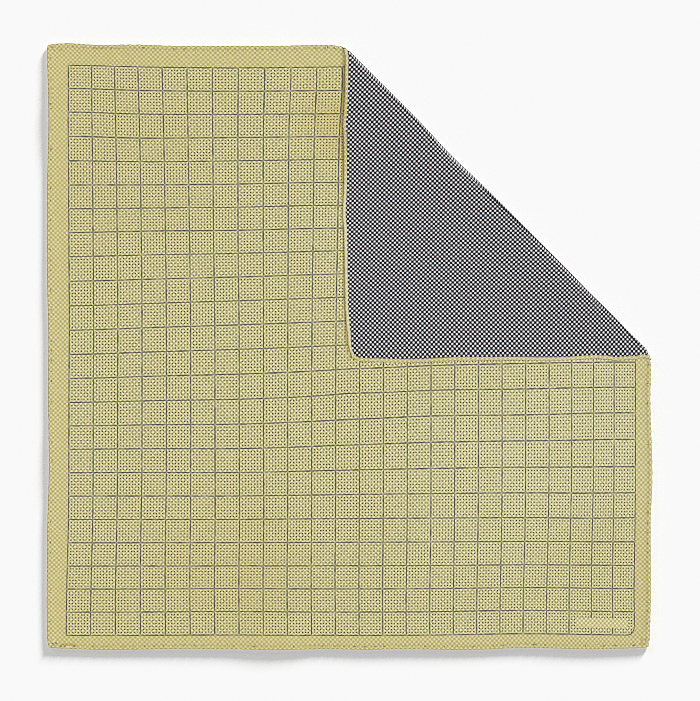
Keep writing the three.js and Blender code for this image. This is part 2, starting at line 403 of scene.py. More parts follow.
def straight_row(rows, place):
    return between_rows(rows, place, lambda at, start, end: (at - start) / (end - start))


def bump_at(x, y, reach_x, reach_y):
    return math.exp(-((x / reach_x) ** 2) - (y / reach_y) ** 2)


along_fold = Vector((math.cos(FOLD_ANGLE), math.sin(FOLD_ANGLE)))
across_fold = Vector((-math.sin(FOLD_ANGLE), math.cos(FOLD_ANGLE)))


@cache
def open_place(u, v):
    """Place of a cloth point on the surface while the cloth is still open."""
    x = lerp(
        -HALF - eased_row(EDGES["left"], v), HALF + eased_row(EDGES["right"], v), u / SIDE
    )
    y = lerp(-HALF - eased_row(EDGES["near"], u), HALF + eased_row(EDGES["far"], u), v / SIDE)
    for right, far, tuck, reach_across, reach_up in CORNERS:
        du = SIDE - u if right else u
        dv = SIDE - v if far else v
        pull = tuck * bump_at(du, dv, reach_across, reach_up)
        x += -pull if right else pull
        y += -pull if far else pull
    return Vector((x, y))


def distance_in(u, v):
    return min(u, SIDE - u, v, SIDE - v)


def run_along(u, v):
    """Distance along the nearest edge."""
    return v if min(u, SIDE - u) < min(v, SIDE - v) else u


def crease_height(x, y):
    height = 0.0
    for x0, y0, x1, y1, high, half_width in CREASES:
        run = Vector((x1 - x0, y1 - y0))
        offset = Vector((x - x0, y - y0))
        share = min(max(offset.dot(run) / run.length_squared, 0.0), 1.0)
        away = (offset - run * share).length
        height += high * math.exp(-((away / half_width) ** 2))
    return height


def wave_at(way, place, beside):
    length, sway, sway_length = WAVES[way]
    return math.sin(place / length + sway * math.sin(beside / sway_length))


def lift(x, y):
    """Height that waves and swells add to every layer."""
    height = WAVE * (2 + wave_at("across", x, y) + wave_at("up", y, x))
    for centre_x, centre_y, high, reach in SWELLS:
        spread = 1 - ((x - centre_x) ** 2 + (y - centre_y) ** 2) / reach**2
        if spread > 0:
            height += high * spread**2
    return height


def gather_at(run):
    """Ripples along the hem, one to a stitch, which drift a little."""
    drift = GATHER_DRIFT["amount"] * math.sin(run / GATHER_DRIFT["length"])
    return math.sin(2 * math.pi * run / STITCH_PITCH + drift)


def pucker(u, v):
    """Small ripples that the stitches draw into the cloth beside the hem."""
    run = run_along(u, v)
    wave = math.sin(run / PUCKER["length"] + PUCKER["slant"] * u)
    swing = 1 - PUCKER["swing"] + PUCKER["swing"] * wave
    away = distance_in(u, v) - PUCKER["inward"]
    return PUCKER["height"] * swing * gather_at(run) * math.exp(-(away**2) / PUCKER["spread"])


def front_height(u, v):
    place = open_place(u, v)
    rise = eased_row(FRONT_RISE, distance_in(u, v))
    crease = crease_height(place.x, place.y)
    height = rise + lift(place.x, place.y) + crease + pucker(u, v)
    return max(height, CLOTH + CLEARANCE["silk"])


# Distances along the fold at which its line leaves the square, at the far and the right edge
far_end = Vector(((FOLD_REACH - HALF * across_fold.y) / across_fold.x, HALF))
right_end = Vector((HALF, (FOLD_REACH - HALF * across_fold.x) / across_fold.y))
fold_from, fold_to = far_end.dot(along_fold), right_end.dot(along_fold)


def turn_section(along, front, depth):
    """Inner radius, middle line and height of the turn, for a layer of that front and depth."""
    inner = (FLAP_RISE - front) / 2
    drawn_in = 0.0
    for edge, from_end in (("far", along - fold_from), ("right", fold_to - along)):
        drawn_in += FOLD_ENDS[edge] * (1 - ease(from_end, 0, FOLD_ENDS["length"]))
    for middle, dip, reach in FOLD_DIPS:
        drawn_in += dip * bump_at(along - fold_from - middle, 0, reach, 1)
    return inner, FOLD_REACH - drawn_in - inner - depth, front + inner


def flap_slip(along):
    return FLAP_SLIP["amount"] * ease(fold_to - along, 0, FLAP_SLIP["fade"])


@cache
def layer_at(u, v):
    """Place along and across the fold, with the height of the front and the layer's depth."""
    place = open_place(u, v)
    depth = eased_row(LAYER_DEPTH, distance_in(u, v))
    front = min(front_height(u, v), FLAP_RISE - TURN_GAP)
    return place.dot(along_fold), place.dot(across_fold), front, depth


def turn_point(u, v, share, depth):
    """Point a depth behind the front, a share of the way round the turn."""
    along, _, front, layer_depth = layer_at(u, v)
    inner, middle, height = turn_section(along, front, layer_depth)
    angle = math.pi * (share - 0.5)
    radius = inner + depth
    across = middle + radius * math.cos(angle)
    place = along_fold * (along + flap_slip(along) * share) + across_fold * across
    return Vector((place.x, place.y, height + radius * math.sin(angle)))


def flap_point(u, v, depth):
    """Point a depth above the front face of the flap, which lies face down."""
    along, across, front, layer_depth = layer_at(u, v)
    _, middle, _ = turn_section(along, front, layer_depth)
    past = max(across - FOLD_MIDDLE, 0)
    middle = lerp(middle, FOLD_MIDDLE, ease(past, 0, FLAP_SLANT[0]))
    taken = FLAP_TAKE_UP["amount"] * ease(past, 0, FLAP_TAKE_UP["over"])
    place = along_fold * (along + flap_slip(along)) + across_fold * (middle - past + taken)
    rest = FRONT_FLAT + BETWEEN_LAYERS + lift(place.x, place.y)
    ripple = max(pucker(u, v), 0)
    underside = lerp(FLAP_RISE, rest, ease(past, *FLAP_SLANT)) + ripple
    return Vector((place.x, place.y, underside + depth))


def base_place(u, v):
    """Place of a base point over the surface, drawn in where the cloth nears its turn."""
    along, across, front, layer_depth = layer_at(u, v)
    _, middle, _ = turn_section(along, front, layer_depth)
    pulled = (middle - FOLD_MIDDLE) * ease(across, FOLD_MIDDLE - FOLD_PULL, FOLD_MIDDLE)
    pulled -= max(across - FOLD_MIDDLE, 0)
    return open_place(u, v) + across_fold * pulled


def base_point(u, v, depth):
    place = base_place(u, v)
    return Vector((place.x, place.y, front_height(u, v) - depth))


def print_stray(x, y):
    stray = Vector((straight_row(PRINT_ACROSS, x), straight_row(PRINT_UP, y)))
    for centre_x, centre_y, across, up, reach_x, reach_y in PRINT_PULLS:
        stray += Vector((across, up)) * bump_at(x - centre_x, y - centre_y, reach_x, reach_y)
    return stray


def turned_print_stray(x, y):
    across = straight_row(TURNED_ACROSS["by_x"], x) + straight_row(TURNED_ACROSS["by_y"], y)
    up = straight_row(TURNED_UP["by_x"], x) + straight_row(TURNED_UP["by_y"], y)
    return Vector((across, up))


@cache
def print_place(u, v):
    """Place in the print, in shares of the side."""
    place = open_place(u, v)
    return (place - print_stray(place.x, place.y)) / SIDE + Vector((0.5, 0.5))


@cache
def turned_print_place(u, v, share):
    """Place in the print on the turn and the flap. The turn takes up cloth before the flap."""
    place = open_place(u, v)
    past = TURN_LENGTH * share
    if share < 1:
        past -= place.dot(across_fold) - FOLD_MIDDLE
    flat = place - turned_print_stray(place.x, place.y) + across_fold * past
    return flat / SIDE + Vector((0.5, 0.5))


def gold_and_painted_shade_at(place):
    gold = 0.0
    for centre_x, centre_y, amount, reach in GOLD_PATCHES:
        gold += amount * bump_at(place.x - centre_x, place.y - centre_y, reach, reach)
    # Painted shade: a golden line where the flap's left hem shades the low silk beside it
    ends = list(SHADE_BESIDE_FLAP)
    low = 1 - ease(place.z - lift(place.x, place.y), *SHADE_LINE_BESIDE_FLAP["fade"])
    if low and ends[0] < place.y < ends[-1]:
        beside = place.x - straight_row(SHADE_BESIDE_FLAP, place.y)
        gold += SHADE_LINE_BESIDE_FLAP["gold"] * low * bump_at(beside, 0, SHADE_LINE_BESIDE_FLAP["half"], 1)
    return gold


def lines_between(start, end):
    """Places of mesh lines between two ends, closer together towards both."""
    from_start = [start + inset for inset in EDGE_LINES]
    to_end = [end - inset for inset in reversed(EDGE_LINES)]
    strips = math.ceil((to_end[0] - from_start[-1]) / WIDEST_STRIP)
    middle = [lerp(from_start[-1], to_end[0], strip / strips) for strip in range(1, strips)]
    return from_start + middle + to_end


FRONT, REVERSE = 0, 1  # finishes of a cloth piece


class Sheet:
    """Points and faces of a cloth piece. Each point knows its place in the flat cloth."""

    def __init__(self):
        self.points = []
        self.spots = []
        self.golds = []
        self.faces = []
        self.sides = []

    def add_point(self, point, u, v, share, gold=0.0):
        self.points.append(point)
        self.spots.append((u, v, share))
        self.golds.append(gold + gold_and_painted_shade_at(point))
        return len(self.points) - 1

    def add_face(self, corners, side=FRONT):
        self.faces.append(corners)
        self.sides.append(side)

    def print_face(self, face):
        """Places in the print of a face's corners. The turn and the flap have their own stray."""
        spots = [self.spots[corner] for corner in face.vertices]
        if any(share for _, _, share in spots):
            return [turned_print_place(*spot) for spot in spots]
        return [print_place(u, v) for u, v, _ in spots]

    def make(self, name, shift, finishes):
        mesh = bpy.data.meshes.new(name)
        mesh.from_pydata([(point + shift) * MM for point in self.points], [], self.faces)
        for finish in finishes:
            mesh.materials.append(finish)
        mesh.polygons.foreach_set("material_index", self.sides)
        print_map = mesh.uv_layers.new(name="print")
        for face in mesh.polygons:
            for loop, print_at in zip(face.loop_indices, self.print_face(face)):
                print_map.data[loop].uv = print_at
        for label, values in (
            ("gold", self.golds),
            ("inward", [distance_in(u, v) for u, v, _ in self.spots]),
            ("run", [run_along(u, v) for u, v, _ in self.spots]),
        ):
            mesh.attributes.new(label, "FLOAT", "POINT").data.foreach_set("value", values)
        mesh.shade_smooth()
        piece = bpy.data.objects.new(name, mesh)
        bpy.context.collection.objects.link(piece)
        return piece


def is_on_flap(u, v):
    return open_place(u, v).dot(across_fold) > FOLD_MIDDLE


def weave_cloth():
    """The silk as a thin closed sheet: front, reverse and the narrow wall round its edge."""
    fold_start = FOLD_MIDDLE * math.sqrt(2) + CLOTH_EDGE
    before_fold = lines_between(CLOTH_EDGE, fold_start)
    lines = before_fold + lines_between(fold_start, SIDE - CLOTH_EDGE)[1:]
    last = len(lines) - 1
    fold_sum = last + len(before_fold) - 1
    sheet = Sheet()
    pairs = {}

    def pair_at(i, j, step):
        key = (i, j, step if i + j == fold_sum else 0)
        if key in pairs:
            return pairs[key]
        u, v = lines[i], lines[j]
        share = step / FOLD_STEPS
        if i + j == fold_sum:
            points = [turn_point(u, v, share, depth) for depth in (0, CLOTH)]
        elif i + j < fold_sum:
            points = [base_point(u, v, depth) for depth in (0, CLOTH)]
            share = 0
        else:
            points = [flap_point(u, v, depth) for depth in (0, CLOTH)]
            share = 1
        pairs[key] = [sheet.add_point(point, u, v, share) for point in points]
        return pairs[key]

    rims = set()

    def add_face(*places):
        corners = [pair_at(*place) for place in places]
        sheet.add_face([corner[0] for corner in corners], FRONT)
        sheet.add_face([corner[1] for corner in reversed(corners)], REVERSE)
        rims.update(zip(map(tuple, corners), map(tuple, corners[1:] + corners[:1])))

    for i in range(last):
        for j in range(last):
            if i + j + 1 != fold_sum:
                step = 0 if i + j + 1 < fold_sum else FOLD_STEPS
                add_face((i, j, step), (i + 1, j, step), (i + 1, j + 1, step), (i, j + 1, step))
                continue
            add_face((i, j, 0), (i + 1, j, 0), (i, j + 1, 0))
            for step in range(FOLD_STEPS):
                after = step + 1
                add_face((i + 1, j, step), (i + 1, j, after), (i, j + 1, after), (i, j + 1, step))
            add_face((i + 1, j, FOLD_STEPS), (i + 1, j + 1, FOLD_STEPS), (i, j + 1, FOLD_STEPS))
    for start, end in sorted(rims):
        if (end, start) not in rims:
            sheet.add_face([start[0], start[1], end[1], end[0]], FRONT)
    return sheet


def roll_path():
    """Middle line of the rolled hem: place in the cloth, way outwards, and the edge it is on."""
    low, high = ROLL_MIDDLE_IN, SIDE - ROLL_MIDDLE_IN
    steps = round((high - low) / ROLL_STEP)
    sides = [
        ("near", (low, low), (high, low), (0, -1)),
        ("right", (high, low), (high, high), (1, 0)),
        ("far", (high, high), (low, high), (0, 1)),
        ("left", (low, high), (low, low), (-1, 0)),
    ]
    path = []
    before = Vector(sides[-1][3])
    for edge, start, end, outwards in sides:
        out = Vector(outwards)
        path.append((Vector(start), (before + out) * ROLL_CORNER, edge))
        for step in range(1, steps):
            path.append((Vector(start).lerp(Vector(end), step / steps), out, edge))
        before = out
    return path


def roll_stops():
    """The path's places, each with its share of the turn: 0 on the base, 1 on the flap."""
    path = roll_path()
    stops = []
    for number, (place, out, edge) in enumerate(path):
        flap = is_on_flap(*place)
        stops.append((place, out, edge, 1.0 if flap else 0.0, False))
        following = path[(number + 1) % len(path)][0]
        if is_on_flap(*following) == flap:
            continue
        middle = (place + following) / 2
        for step in range(FOLD_STEPS + 1):
            share = step / FOLD_STEPS
            stops.append((middle, out, edge, 1 - share if flap else share, True))
    return stops


def roll_hem():
    """The hem, rolled over to the reverse: a puckered roll all round the cloth's edge."""
    sheet = Sheet()
    rings = []
    under_depth = ROLL_TOP - ROLL_UNDER["middle"]
    lump_reach = FLAP_CORNER_LUMP["reach"]
    for number, (place, out, edge, share, turning) in enumerate(roll_stops()):
        run = number * ROLL_STEP
        flap = ROLL_ON_FLAP.get(edge, ROLL_UNDER)
        gather = ROLL_UNEVEN["gather"] * gather_at(run)
        uneven = sum(
            strength * noise.noise(Vector((run / length, row, 0)))
            for length, strength, row in ROLL_LUMPS
        )
        width = 1 if turning or not share else flap["width"]
        half_width = ROLL_HALF_WIDTH * width * (1 + gather + ROLL_UNEVEN["width"] * uneven)
        lump = bump_at(SIDE - place.x, SIDE - place.y, lump_reach, lump_reach)
        grown = half_width * FLAP_CORNER_LUMP["growth"] * lump
        pressed = 1 - FOLD_PRESS * math.sin(math.pi * share) if turning else 1
        fullness = 1 - gather + ROLL_UNEVEN["fullness"] * uneven
        middle = lerp(under_depth, flap["middle"], share)
        half = lerp(ROLL_UNDER["half"], flap["half"], share) * fullness
        ring = []
        for side in range(ROLL_SIDES):
            angle = math.pi / 2 - 2 * math.pi * side / ROLL_SIDES
            u, v = place + out * ((half_width + grown) * math.cos(angle) - grown)
            depth = (middle - half * math.sin(angle)) * pressed
            if turning:
                point = turn_point(u, v, share, depth)
            elif share:
                point = flap_point(u, v, depth)
            else:
                spot = base_place(u, v)
                height = lift(spot.x, spot.y) + ROLL_TOP - depth
                point = Vector((spot.x, spot.y, max(height, CLEARANCE["roll"])))
            print_u, print_v = place + out * (ROLL_HALF_WIDTH * (math.pi / 2 - angle))
            gold = flap["gold"] * share * ease(depth, *ROLL_GOLD_DEPTH)
            ring.append(sheet.add_point(point, print_u, print_v, share, gold))
        rings.append(ring)
    for ring, following in zip(rings, rings[1:] + rings[:1]):
        for side in range(ROLL_SIDES):
            beside = (side + 1) % ROLL_SIDES
            sheet.add_face([ring[side], following[side], following[beside], ring[beside]])
    return sheet


def model_stitch(finish):
    """One hand stitch: a short thread that swells in the middle and dips at both ends."""
    bpy.ops.object.select_all(action="DESELECT")
    bpy.ops.mesh.primitive_cylinder_add(
        vertices=6,
        radius=THREAD_RADIUS * MM,
        depth=THREAD_LENGTH * MM,
        end_fill_type="TRIFAN",
        rotation=(0, math.pi / 2, 0),
    )
    stitch = bpy.context.object
    bpy.ops.object.transform_apply(rotation=True)
    bpy.ops.object.mode_set(mode="EDIT")
    for cut in (-THREAD_FULL, THREAD_FULL):
        bpy.ops.mesh.select_all(action="SELECT")
        bpy.ops.mesh.bisect(plane_co=(cut * MM, 0, 0), plane_no=(1, 0, 0))
    bpy.ops.object.mode_set(mode="OBJECT")
    for vertex in stitch.data.vertices:
        if abs(vertex.co.x) > THREAD_TIP["from"] * MM:
            vertex.co.y *= THREAD_TIP["width"]
            vertex.co.z = vertex.co.z * THREAD_TIP["width"] - THREAD_TIP["dip"] * MM
    stitch.data.materials.append(finish)
    stitch.data.shade_smooth()
    return stitch


def stitch_ends(place, out):
    """Where one stitch starts and ends in the cloth: slanting in from the roll."""
    along = Vector((-out.y, out.x))
    inward_of_path = STITCH_IN - ROLL_MIDDLE_IN
    start = place - out * (inward_of_path - STITCH_REACH["out"])
    end = place - out * (inward_of_path + STITCH_REACH["in"]) + along * STITCH_REACH["along"]
    return start, end


def sew_hem(finish, shift):
    """Stitches on both faces of the cloth, all round the hem, joined as one piece."""
    hand = random.Random(STITCH_SEED)
    pattern = model_stitch(finish)
    every = round(STITCH_PITCH / ROLL_STEP)
    sewn = []
    for place, out, _ in roll_path()[every // 2::every]:
        across = open_place(*place).dot(across_fold)
        if abs(across - FOLD_MIDDLE) < STITCHLESS:
            continue
        ends = [
            end + Vector((hand.uniform(-STITCH_STRAY, STITCH_STRAY),) * 2)
            for end in stitch_ends(place, out)
        ]
        on_flap = across > FOLD_MIDDLE
        for depth in (0, CLOTH):
            at = flap_point if on_flap else base_point
            start, end = (at(*spot, depth) for spot in ends)
            upwards = (depth > 0) == on_flap
            run = (end - start).normalized()
            side = Vector((0, 0, 1 if upwards else -1)).cross(run).normalized()
            frame_of_stitch = Matrix((run, side, run.cross(side))).transposed().to_4x4()
            middle = (start + end) / 2 + shift + run.cross(side) * THREAD_RAISED
            stitch = bpy.data.objects.new("stitch", pattern.data.copy())
            stitch.data.transform(Matrix.Translation(middle * MM) @ frame_of_stitch)
            bpy.context.collection.objects.link(stitch)
            sewn.append(stitch)
    bpy.data.objects.remove(pattern)
    bpy.ops.object.select_all(action="DESELECT")
    for stitch in sewn:
        stitch.select_set(True)
    bpy.context.view_layer.objects.active = sewn[0]
    bpy.ops.object.join()
    sewn[0].name = "hem_stitches"
    return sewn[0]


def linear(colour):
    """A colour of 0 to 255 as Blender's linear values."""
    shares = [channel / 255 for channel in colour]
    values = [s / 12.92 if s <= 0.04045 else ((s + 0.055) / 1.055) ** 2.4 for s in shares]
    return (*values, 1.0)


class Finish:
    """A material, with short names for the nodes that draw on it."""

    def __init__(self, name, roughness):
        self.material = bpy.data.materials.new(name)
        self.material.use_nodes = True
        self.nodes = self.material.node_tree.nodes
        self.links = self.material.node_tree.links
        self.surface = self.nodes["Principled BSDF"]
        self.surface.inputs["Roughness"].default_value = roughness

    def put(self, socket, value):
        if isinstance(value, bpy.types.NodeSocket):
            self.links.new(value, socket)
        else:
            socket.default_value = value

    def sum(self, operation, *values):
        node = self.nodes.new("ShaderNodeMath")
        node.operation = operation
        for socket, value in zip(node.inputs, values):
            self.put(socket, value)
        return node.outputs[0]

    def add(self, a, b):
        return self.sum("ADD", a, b)

    def minus(self, a, b):
        return self.sum("SUBTRACT", a, b)

    def times(self, a, b):
        return self.sum("MULTIPLY", a, b)

    def fade(self, value, start, end, low=0.0, high=1.0):
        """Goes softly from low at start to high at end."""
        node = self.nodes.new("ShaderNodeMapRange")
        node.interpolation_type = "SMOOTHSTEP"
        numbers = {"Value": value, "From Min": start, "From Max": end, "To Min": low, "To Max": high}
        for name, number in numbers.items():
            self.put(node.inputs[name], number)
        return node.outputs[0]

    def mix(self, share, start, end):
        node = self.nodes.new("ShaderNodeMix")
        node.data_type = "RGBA"
        self.put(node.inputs[0], share)
        self.put(node.inputs[6], start)
        self.put(node.inputs[7], end)
        return node.outputs[2]

    def noise(self, place, scale, detail=1.0):
        node = self.nodes.new("ShaderNodeTexNoise")
        node.inputs["Scale"].default_value = scale
        node.inputs["Detail"].default_value = detail
        self.put(node.inputs["Vector"], place)
        return node.outputs["Fac"]

    def varied(self, place, scale, start, end, low, high):
        """Noise that goes softly from low at start to high at end."""
        return self.fade(self.noise(place, scale), start, end, low, high)

    def sway(self, place, scale, amount):
        """Noise about zero."""
        return self.times(self.minus(self.noise(place, scale), 0.5), amount)

    def distance(self, a, b):
        return self.sum("SQRT", self.add(self.times(a, a), self.times(b, b)))

    def chance(self, x, y):
        """A fixed random number for each whole x and y."""
        pair = self.nodes.new("ShaderNodeCombineXYZ")
        self.put(pair.inputs[0], self.sum("ROUND", x))
        self.put(pair.inputs[1], self.sum("ROUND", y))
        node = self.nodes.new("ShaderNodeTexWhiteNoise")
        node.noise_dimensions = "2D"
        self.put(node.inputs["Vector"], pair.outputs[0])
        return node.outputs["Value"]

    def attribute(self, name):
        node = self.nodes.new("ShaderNodeAttribute")
        node.attribute_name = name
        return node.outputs["Fac"]

    def print_place(self):
        """Place in the print in millimetres: a vector, and how far across and up it is."""
        uv = self.nodes.new("ShaderNodeUVMap")
        uv.uv_map = "print"
        scaled = self.nodes.new("ShaderNodeVectorMath")
        scaled.operation = "SCALE"
        scaled.inputs["Scale"].default_value = SIDE
        self.links.new(uv.outputs[0], scaled.inputs[0])
        parts = self.nodes.new("ShaderNodeSeparateXYZ")
        self.links.new(scaled.outputs[0], parts.inputs[0])
        return scaled.outputs[0], parts.outputs[0], parts.outputs[1]

    def relief(self, height, distance):
        """Small relief: height from 0 to 1 stands for a distance in millimetres."""
        bump = self.nodes.new("ShaderNodeBump")
        bump.inputs["Distance"].default_value = distance * MM
        self.put(bump.inputs["Height"], height)
        self.links.new(bump.outputs[0], self.surface.inputs["Normal"])

    def near_whole(self, value):
        """Distance to the nearest whole number."""
        return self.sum("PINGPONG", value, 0.5)

    def between(self, value, low, high):
        above = self.sum("GREATER_THAN", value, low)
        return self.times(above, self.sum("LESS_THAN", value, high))


def check_wave(finish, across, up):
    """The staggered check as a wave: 1 in the middle of a light spot, -1 in that of a dark one."""
    turns = 2 * math.pi / CHECK_REPEAT
    waves = [finish.sum("COSINE", finish.times(axis, turns)) for axis in (across, up)]
    return finish.times(*waves)


def give_silk_gloss(finish):
    for name, value in SILK_GLOSS.items():
        finish.surface.inputs[name].default_value = value


def give_silk_weave(finish, place, across, up):
    """The twill's slanting ribs and its threads, as small relief."""
    slant = finish.add(across, up)
    ribs = finish.sum("SINE", finish.times(slant, 2 * math.pi / TWILL_RIB))
    threads = finish.add(finish.times(ribs, RIB_SHARE), finish.noise(place, *WEAVE_NOISE))
    finish.relief(threads, WEAVE_RELIEF)
    give_silk_gloss(finish)


def tint_threads(finish, place, colour, *tints):
    """The silk's threads lean to the first tint here and to the second there."""
    hue = finish.noise(place, THREAD_TINTS["scale"])
    for way, tint in zip((1, -1), tints):
        end = 0.5 + way * THREAD_TINTS["spread"]
        share = finish.fade(hue, 0.5, end, 0.0, THREAD_TINTS["share"])
        colour = finish.mix(share, colour, linear(tint))
    return colour


def mark_hem_soil_and_shade(finish, colour, shift):
    """Small marks beside the hem, each at its own place on the finished piece: partly soil, partly
    painted shade of the thread's puckers.
    """
    coordinates = finish.nodes.new("ShaderNodeTexCoord")
    parts = finish.nodes.new("ShaderNodeSeparateXYZ")
    finish.put(parts.inputs[0], coordinates.outputs["Object"])
    x, y = (finish.times(parts.outputs[axis], 1 / MM) for axis in range(2))
    for mark_x, mark_y, half_width, half_height, share, mark in SOIL_AND_SHADE_MARKS:
        across = finish.times(finish.minus(x, mark_x + shift.x), 1 / half_width)
        up = finish.times(finish.minus(y, mark_y + shift.y), 1 / half_height)
        away = finish.add(finish.times(across, across), finish.times(up, up))
        colour = finish.mix(finish.fade(away, *MARK_FADE, share, 0.0), colour, linear(mark))
    return colour


class Grid:
    """The windowpane grid on a finish, with places in cells from its frame's far left corner."""

    def __init__(self, finish, place, across, up):
        self.finish = finish
        self.place = place
        wander = finish.sway(place, *WANDER)
        column = finish.times(finish.minus(across, FIRST_LINE[0]), 1 / CELL)
        row = finish.times(finish.minus(SIDE - FIRST_LINE[1], up), 1 / CELL)
        self.column = finish.add(column, wander)
        self.row = finish.minus(row, wander)
        self.from_column = finish.times(finish.near_whole(self.column), CELL)
        self.from_row = finish.times(finish.near_whole(self.row), CELL)
        bare = finish.times(
            finish.between(self.column, BARE_STRIP["left"], BARE_STRIP["right"]),
            finish.between(self.row, BARE_STRIP["top"], BARE_STRIP["bottom"]),
        )
        self.printed = finish.minus(1.0, bare)
        self.measure_frame()

    def measure_frame(self):
        """How far places are beyond the frame, with its one rounded corner, and what is inside."""
        finish = self.finish
        past = [
            finish.sum("MAXIMUM", finish.minus(cells, CELLS - FRAME_CORNER), 0.0)
            for cells in (self.column, self.row)
        ]
        edge = LINE_HALF / CELL
        self.beyond = finish.minus(finish.distance(*past), FRAME_CORNER)
        self.inside = finish.times(
            finish.sum("LESS_THAN", self.beyond, edge),
            finish.sum("GREATER_THAN", finish.sum("MINIMUM", self.column, self.row), -edge),
        )

    def lines(self):
        """Lines uneven in width and strength, and faded where they cross."""
        finish = self.finish
        width = finish.varied(self.place, *LINE_WIDTH)
        inner_edge, outer_edge = (finish.times(width, share) for share in LINE_EDGE)
        from_frame = finish.times(finish.sum("ABSOLUTE", self.beyond), CELL)
        upright, level, framing = (
            finish.fade(away, inner_edge, outer_edge, 1.0, 0.0)
            for away in (self.from_column, self.from_row, from_frame)
        )
        upright = finish.times(upright, self.printed)
        lines = finish.sum("MAXIMUM", finish.sum("MAXIMUM", upright, level), framing)
        farther = finish.sum("MAXIMUM", self.from_column, self.from_row)
        crossing = finish.fade(farther, *CROSSING_FADE)
        strength = finish.varied(self.place, *LINE_STRENGTH)
        return finish.times(finish.times(lines, self.inside), finish.times(crossing, strength))

    def pin_dots(self):
        """Pin dots in rows, none on the lines or on the bare strip."""
        finish = self.finish
        spots = [finish.times(cells, DOT_SPACES) for cells in (self.column, self.row)]
        space = CELL / DOT_SPACES
        away = finish.distance(*(finish.times(finish.near_whole(spot), space) for spot in spots))
        luck = finish.chance(*spots)
        radius = finish.fade(luck, 0.0, 1.0, *(DOT_RADIUS * share for share in DOT_SIZES))
        inner_edge, outer_edge = (finish.times(radius, share) for share in DOT_EDGE)
        dots = finish.fade(away, inner_edge, outer_edge, 1.0, 0.0)
        from_line = finish.sum("MINIMUM", self.from_column, self.from_row)
        clear = finish.times(finish.sum("GREATER_THAN", from_line, space / 2), self.printed)
        dots = finish.times(finish.times(dots, self.inside), clear)
        return finish.times(dots, finish.fade(luck, 0.0, 0.5, DOT_WEAKEST, 1.0))


def silk_ground(finish, place, across, up, inside):
    """Ground of the print: the check shows through, paler and bluer inside the frame."""
    through = finish.fade(check_wave(finish, across, up), *SHOW_THROUGH)
    border = finish.mix(through, linear(OLIVE), linear(CREAM))
    field = finish.mix(through, linear(FIELD_OLIVE), linear(FIELD_CREAM))
    ground = finish.mix(inside, border, field)
    clouds = finish.times(finish.noise(place, *CLOUDS), CLOUD_SHARE)
    # The gold attribute holds the golden and paler tone patches, the paler roll on the flap, and the
    # painted shade beside the flap's hem
    gold = finish.add(clouds, finish.attribute("gold"))
    for start, end, share, colour in GOLD_TINTS:
        ground = finish.mix(finish.fade(gold, start, end, 0.0, share), ground, linear(colour))
    return tint_threads(finish, place, ground, PINKISH, GREENISH)


def stitch_specks_and_shade(finish, place):
    """Where the stitches of the hem catch the front: dark specks, partly stitch marks and partly
    painted shade of their dimples.
    """
    drift = finish.times(finish.noise(place, SPECK_DRIFT["scale"]), SPECK_DRIFT["amount"])
    stitch_run = finish.times(finish.add(finish.attribute("run"), drift), 1 / STITCH_PITCH)
    away = finish.add(
        finish.times(finish.near_whole(stitch_run), SPECKS_AND_SHADE["slimness"]),
        finish.sum("ABSOLUTE", finish.minus(finish.attribute("inward"), SPECKS_AND_SHADE["inward"])),
    )
    caught = finish.fade(away, *SPECKS_AND_SHADE["fade"], SPECKS_AND_SHADE["share"], 0.0)
    return finish.times(caught, finish.fade(finish.chance(stitch_run, 0.0), *SPECKS_AND_SHADE["luck"]))


def front_print_and_painted_shade(shift):
    # The front's print, with painted shade beside the flap's hem and at the stitches, and the marks
    # beside the hem
    finish = Finish("printed_silk_front_and_painted_shade", ROUGHNESS["front"])
    place, across, up = finish.print_place()
    grid = Grid(finish, place, across, up)
    ground = silk_ground(finish, place, across, up, grid.inside)
    # Dark specks at the stitches, partly painted shade
    ground = finish.mix(stitch_specks_and_shade(finish, place), ground, linear(SPECK_AND_SHADE))
    # Marks beside the hem: soil, and painted shade of its puckers
    ground = mark_hem_soil_and_shade(finish, ground, shift)
    dots = finish.times(grid.pin_dots(), INK_SHARE["dots"])
    lines = finish.times(grid.lines(), INK_SHARE["lines"])
    inked = finish.mix(dots, ground, linear(DOT_INK))
    inked = finish.mix(lines, inked, linear(LINE_INK))
    finish.put(finish.surface.inputs["Base Color"], inked)
    give_silk_weave(finish, place, across, up)
    return finish.material


def checked_reverse():
    finish = Finish("checked_silk_reverse", ROUGHNESS["reverse"])
    place, across, up = finish.print_place()
    wave = finish.add(check_wave(finish, across, up), finish.sway(place, *CHECK_UNEVEN))
    white = tint_threads(finish, place, linear(CHECK_WHITE), CHECK_PINKISH, CHECK_BLUISH)
    colour = finish.mix(finish.fade(wave, *CHECK_FADE), linear(CHECK_BLACK), white)
    finish.put(finish.surface.inputs["Base Color"], colour)
    give_silk_weave(finish, place, across, up)
    return finish.material


def hem_thread():
    finish = Finish("hem_thread", ROUGHNESS["thread"])
    place = finish.nodes.new("ShaderNodeTexCoord").outputs["Object"]
    colour = finish.mix(finish.noise(place, *THREAD_SHADE), linear(THREAD), linear(OLIVE))
    finish.put(finish.surface.inputs["Base Color"], colour)
    finish.relief(finish.noise(place, THREAD_FUZZ["scale"]), THREAD_FUZZ["relief"])
    give_silk_gloss(finish)
    return finish.material


